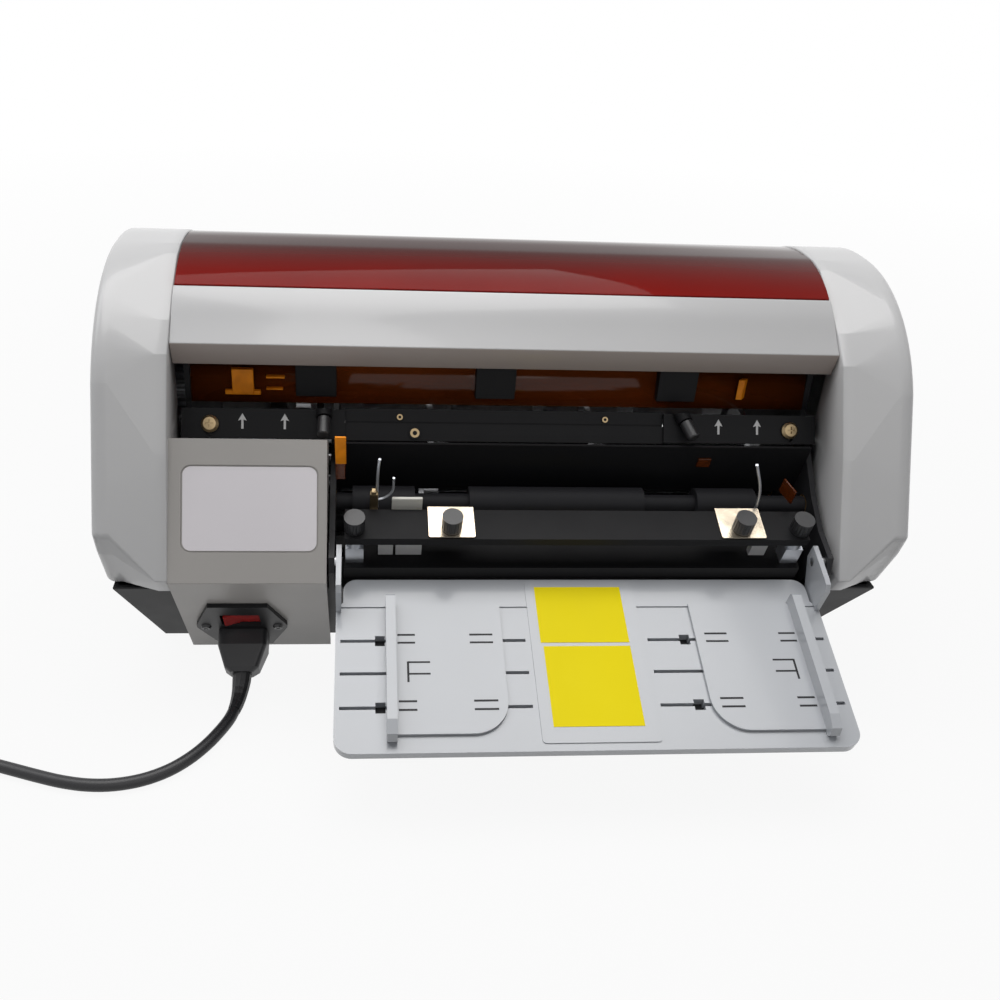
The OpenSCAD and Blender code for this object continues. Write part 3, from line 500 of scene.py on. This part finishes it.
CREAM_PLATE = (-62.9, 49.2, 0, -46.5, 51, 30)
BRASS_BLOCK = (-74.7, 48.9, 0, -70.3, 51.8, 34)
BRASS_CAP = (-74.1, 48.4, 34, -71.3, 51.4, 36.5)
WIRES = (
    ("spring_wire_a", 0.8, [(-70.8, 52, 20), (-70.9, 52, 34), (-70.6, 52, 50), (-69.9, 52.6, 57.6)]),
    ("spring_wire_b", 0.7, [(-70.6, 51.4, 27), (-66.5, 51.8, 28.4), (-62.8, 52, 33.5), (-62.3, 52, 43.8)]),
    ("spring_wire_c", 0.8, [(138.9, 50, -0.6), (138.7, 50, 21.7), (136.3, 50, 38.7), (128.5, 50, 58.7)]))
# painted light: amber pieces where the lid's amber light falls on the inner walls, with a lit top, a darker
# foot, a glint at the corner and a strip
AMBER_TOP = (-92.9, 59.4, 46, -87.2, 60.6, 66)
AMBER_FOOT = (-92.9, 59.4, 34, -87.8, 60.6, 46)
AMBER_CORNER = (109, 76.4, 27.5, 116.5, 77.7, 34)
AMBER_STRIP = [(153, 60), (154, 60), (157.8, 50), (156.8, 50)]
AMBER_STRIP_Z = (27, 37)
CATCHES = ((-149, -0.8, 157, -137.5, 2.6, 171), (-153, -0.2, 156, -134, 2.4, 158.4),
           (-131, 0.6, 158.6, -122, 3.6, 159.6), (-131, 1.4, 165, -121, 4.8, 166.2))
BENT_CATCH = [(131, 0.6), (134.5, 0.2), (137, 3.2), (133.5, 3.6)]
BENT_CATCH_Z = (157, 169)
GUARD_X = 171.4
GUARD_EDGES = ((6.1, 175.8), (1.6, 151))
GUARD_WALL = 1.2
STOP_X = (-104, -6, 96)
STOP_HALF = 11
STOP_Y = (-1.4, 6.1)
STOP_Z = (156, 176)


def tube(name, points, radius, body, slot, where):
    """A round wire along a smooth line of the plane's own millimetres."""
    made = curve_along(name, [where @ place for place in smooth_line(points, 6)], radius, 3, slot)
    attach(made, body)


def tray_fittings():
    """Dark plates behind the tray's slots, painted shade seen through them, and dark strips on the sliding
    guides, painted shade of their grooves.
    """
    low, high = SLOT_BACK_Z
    # painted shade: dark plates under the slots, so that the slots look dark
    backs = [box(x0, y - SLOT_BACK_HALF, low, x1, y + SLOT_BACK_HALF, high)
             for x0, x1 in SLOT_SPANS for y in SLOT_LINES]
    piece("tray_slot_shade_plates", *joined(*backs), "tray", "frame_dark", FEED, bevel=0.2)
    for face, side, body in GUIDE_FACES:
        places = [(x0, y - GROOVE_HALF, x1, y + GROOVE_HALF)
                  for x0, x1 in GROOVE_SPANS for y in GROOVE_LINES]
        places += [(MIDDLE_SPAN[0], y - MIDDLE_HALF, MIDDLE_SPAN[1], y + MIDDLE_HALF) for y in MIDDLE_LINES]
        # painted shade: dark strips laid on the sliding guides along their grooves, for the shade in the
        # grooves
        lines = []
        for x0, y0, x1, y1 in places + [MIDDLE_END]:
            near, far = sorted((face + side * x0, face + side * x1))
            lines.append(box(near, y0, GROOVE_Z[0], far, y1, GROOVE_Z[1]))
        piece(body + "_groove_shade", *joined(*lines), body, "frame_dark", FEED)


def arrow(x, y):
    """A slender arrow that points up, as painted on the push brackets."""
    outline = [(0, 8.4), (-2.3, 4.4), (-0.6, 4.9), (-0.6, 0), (0.6, 0), (0.6, 4.9), (2.3, 4.4)]
    return prism([(x + dx, y + dy) for dx, dy in outline], *PAINT_Z)


def push_fittings():
    """White arrows on the push brackets, and raised rims around the small screws of the push bar."""
    arrows = [arrow(x, ARROW_Y) for x in ARROW_X]
    piece("push_arrows", *joined(*arrows), "push_bar", "white_plastic", PUSH)
    rims = []
    for x, y, top, r in BAR_SCREWS:
        outer, inner = circle(x, y, r), circle(x, y, r * SCREW_HOLE)
        low, high = top - SCREW_SINK, top + SCREW_RISE
        n = len(outer)
        verts = [(*p, z) for points, z in ((outer, low), (outer, high), (inner, high), (inner, low))
                 for p in points]
        faces = [[k * n + i, k * n + (i + 1) % n, (k + 1) % 4 * n + (i + 1) % n, (k + 1) % 4 * n + i]
                 for k in range(4) for i in range(n)]
        rims.append((verts, faces))
    piece("push_bar_screw_rings", *joined(*rims), "push_bar", "screw_brass", PUSH, bevel=0.12)


def inner_fittings():
    """Wires and blocks that show behind the feed bar, and amber pieces there that are painted light: the
    lid's amber light on the inner walls.
    """
    piece("spring_plate_cream", *box(*CREAM_PLATE), "housing", "nylon", FEED, bevel=0.4)
    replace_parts(piece("spring_block", *joined(box(*BRASS_BLOCK), box(*BRASS_CAP)),
                      "housing", "screw_brass", FEED, bevel=0.5), "paper_springs")
    for name, radius, points in WIRES:
        tube(name, points, radius, "housing", "zinc", FEED)
    # painted light of the lid's amber glow on the inner walls
    piece("amber_light_patch", *box(*AMBER_TOP), "housing", "amber", FEED, bevel=0.3, look_of="amber_painted_lit")
    amber = joined(box(*AMBER_FOOT), box(*AMBER_CORNER), prism(AMBER_STRIP, *AMBER_STRIP_Z))
    piece("amber_light_patches", *amber, "housing", "amber", FEED, bevel=0.3)


def strip_clips():
    """The amber guard of the upper slot, with its catches in a lighter amber of painted light, and black
    stops.
    """
    catches = joined(*[box(*place) for place in CATCHES], prism(BENT_CATCH, *BENT_CATCH_Z))
    piece("strip_catches", *catches, "housing", "amber", LEVEL, bevel=0.35, look_of="amber_painted_lit")
    guard = [(-GUARD_X, y, z) for y, z in GUARD_EDGES]
    guard += [(-x, y, z) for x, y, z in guard[::-1]]
    piece("strip_guard", guard, [[0, 1, 2, 3]], "housing", "amber", LEVEL, thick=GUARD_WALL)
    stops = [box(x - STOP_HALF, STOP_Y[0], STOP_Z[0], x + STOP_HALF, STOP_Y[1], STOP_Z[1]) for x in STOP_X]
    piece("guard_stops", *joined(*stops), "housing", "bar_black", LEVEL, bevel=0.4)


# ---- the mains lead ----
COIL_MID = (-338, -60)
COIL_TURNS = 5
COIL_R = 48.4
COIL_PITCH = 7.2
COIL_Z = 4.4
COIL_END = (COIL_MID[0], COIL_MID[1] - COIL_R)
CLIMB_AT = 0.45                                      # share of the turns where the second layer starts
CLIMB_RATE = 10
LEAD_PATH = [
    (-148, -82, 4), (-150, -89, 3.7), (-154, -98, 3.6), (-159.5, -108, 3.6), (-167, -118, 3.6),
    (-176.5, -126.5, 3.6), (-188, -132.5, 3.6), (-201, -135.5, 3.6), (-214, -135.5, 3.6),
    (-227, -133, 3.6), (-239.5, -129, 3.6), (-252, -124.5, 3.6), (-264.5, -120, 3.6),
    (-277.5, -115.5, 3.6), (-291, -111.8, 3.7), (-305, -109.4, 3.9), (-319, -108.4, 4.2),
    (COIL_END[0] + LEAD_D, COIL_END[1], COIL_Z)]


def coil_line(steps):
    """The coil's line: turns that spiral in, climb a layer and spiral out again."""
    line = []
    for i in range(steps * COIL_TURNS + 1):
        t = i / steps
        r = COIL_R - COIL_PITCH * min(t, COIL_TURNS - t)
        a = math.radians(-90 - 360 * t)
        lift = min(1, max(0, (t / COIL_TURNS - CLIMB_AT) * CLIMB_RATE))
        line.append((COIL_MID[0] + r * math.cos(a), COIL_MID[1] + r * math.sin(a),
                     COIL_Z + COIL_PITCH * lift))
    line.append((COIL_END[0] - LEAD_D, COIL_END[1], COIL_Z + COIL_PITCH))
    return line


def mains_lead():
    """The lead from its strain relief to the plug, whole, with its coil beside the machine."""
    line = smooth_line(LEAD_PATH, 4) + [Vector(p) for p in coil_line(48)]
    line = [p * MM for p in line]
    lead = curve_along("mains_lead", line, LEAD_R, 5, "lead_black")
    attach(lead, "housing")
    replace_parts(lead, "cord_run", "cord_coil")


# ---- stage ----
WORLD_COLOUR = (0.95, 0.97, 1, 1)
WORLD_STRENGTH = 0.2
WHITE = (1, 1, 1, 1)
FLOOR_HALF = 60
FLOOR_GREY = (0.5, 0.5, 0.5, 1)
FLOOR_ROUGH = 0.9
GLOW_FROM, GLOW_TO = 0.45, 1.5                       # the floor turns plain white between these distances
GLOW_NEAR = 0.92


def seen_directly(nodes, links):
    """1 for camera, glossy and transmission rays, which see the white background."""
    path = nodes.new("ShaderNodeLightPath")
    total = path.outputs["Is Camera Ray"]
    for kind in ("Is Glossy Ray", "Is Transmission Ray"):
        either = nodes.new("ShaderNodeMath")
        either.operation = "MAXIMUM"
        links.new(total, either.inputs[0])
        links.new(path.outputs[kind], either.inputs[1])
        total = either.outputs[0]
    return total


def stage():
    """A dim world for light, a white one for the eye, and the floor."""
    world = bpy.data.worlds.new("world")
    bpy.context.scene.world = world
    world.use_nodes = True
    nodes, links = world.node_tree.nodes, world.node_tree.links
    plain = nodes["Background"]
    plain.inputs["Color"].default_value = WORLD_COLOUR
    plain.inputs["Strength"].default_value = WORLD_STRENGTH
    white = nodes.new("ShaderNodeBackground")
    white.inputs["Color"].default_value = WHITE
    white.inputs["Strength"].default_value = 1
    mix = nodes.new("ShaderNodeMixShader")
    links.new(seen_directly(nodes, links), mix.inputs["Fac"])
    links.new(plain.outputs["Background"], mix.inputs[1])
    links.new(white.outputs["Background"], mix.inputs[2])
    links.new(mix.outputs["Shader"], nodes["World Output"].inputs["Surface"])

    mesh = bpy.data.meshes.new("floor")
    corners = [(x * FLOOR_HALF, y * FLOOR_HALF, 0) for x, y in ((-1, -1), (1, -1), (1, 1), (-1, 1))]
    mesh.from_pydata(corners, [], [(0, 1, 2, 3)])
    floor = bpy.data.objects.new("floor", mesh)
    bpy.context.scene.collection.objects.link(floor)
    material = bpy.data.materials.new("floor")
    material.use_nodes = True
    nodes, links = material.node_tree.nodes, material.node_tree.links
    matte = nodes["Principled BSDF"]
    matte.inputs["Base Color"].default_value = FLOOR_GREY
    matte.inputs["Roughness"].default_value = FLOOR_ROUGH
    glow = nodes.new("ShaderNodeEmission")
    glow.inputs["Color"].default_value = WHITE
    glow.inputs["Strength"].default_value = 1
    share = nodes.new("ShaderNodeMath")
    share.operation = "MULTIPLY"
    # near the object the floor takes its shadow, and far from it the floor is plain white
    place = nodes.new("ShaderNodeTexCoord")
    away = nodes.new("ShaderNodeVectorMath")
    away.operation = "LENGTH"
    links.new(place.outputs["Object"], away.inputs[0])
    glowing = nodes.new("ShaderNodeMapRange")
    for socket, value in (("From Min", GLOW_FROM), ("From Max", GLOW_TO),
                          ("To Min", GLOW_NEAR), ("To Max", 1)):
        glowing.inputs[socket].default_value = value
    links.new(away.outputs["Value"], glowing.inputs["Value"])
    links.new(glowing.outputs["Result"], share.inputs[1])
    mix = nodes.new("ShaderNodeMixShader")
    links.new(seen_directly(nodes, links), share.inputs[0])
    links.new(share.outputs[0], mix.inputs["Fac"])
    links.new(matte.outputs["BSDF"], mix.inputs[1])
    links.new(glow.outputs["Emission"], mix.inputs[2])
    links.new(mix.outputs["Shader"], nodes["Material Output"].inputs["Surface"])
    mesh.materials.append(material)


def lamp(name, place, aim, size, power, colour):
    """A soft rectangular lamp, turned towards its aim."""
    data = bpy.data.lights.new(name, "AREA")
    data.shape = "RECTANGLE"
    data.size, data.size_y = size
    data.energy = power
    data.color = colour
    light = bpy.data.objects.new(name, data)
    light.location = place
    light.rotation_euler = (Vector(aim) - Vector(place)).to_track_quat("-Z", "Y").to_euler()
    bpy.context.scene.collection.objects.link(light)


def lights():
    lamp("sky", (-0.1, 0.25, 1.8), (0, 0.02, 0.1), (1.7, 1.3), 28, (1, 0.99, 0.98))
    lamp("window", (-1.3, 0.3, 1.3), (0, 0, 0.1), (1.0, 0.9), 6, (0.97, 0.98, 1))
    lamp("front", (0.3, -1.6, 1.3), (0, 0, 0.1), (1.2, 0.8), 3, (1, 0.98, 0.95))


look()
mains_lead()
dress()
covers()
tray_fittings()
push_fittings()
inner_fittings()
strip_clips()
stage()
lights()

bpy.context.scene.view_settings.view_transform = "Standard"
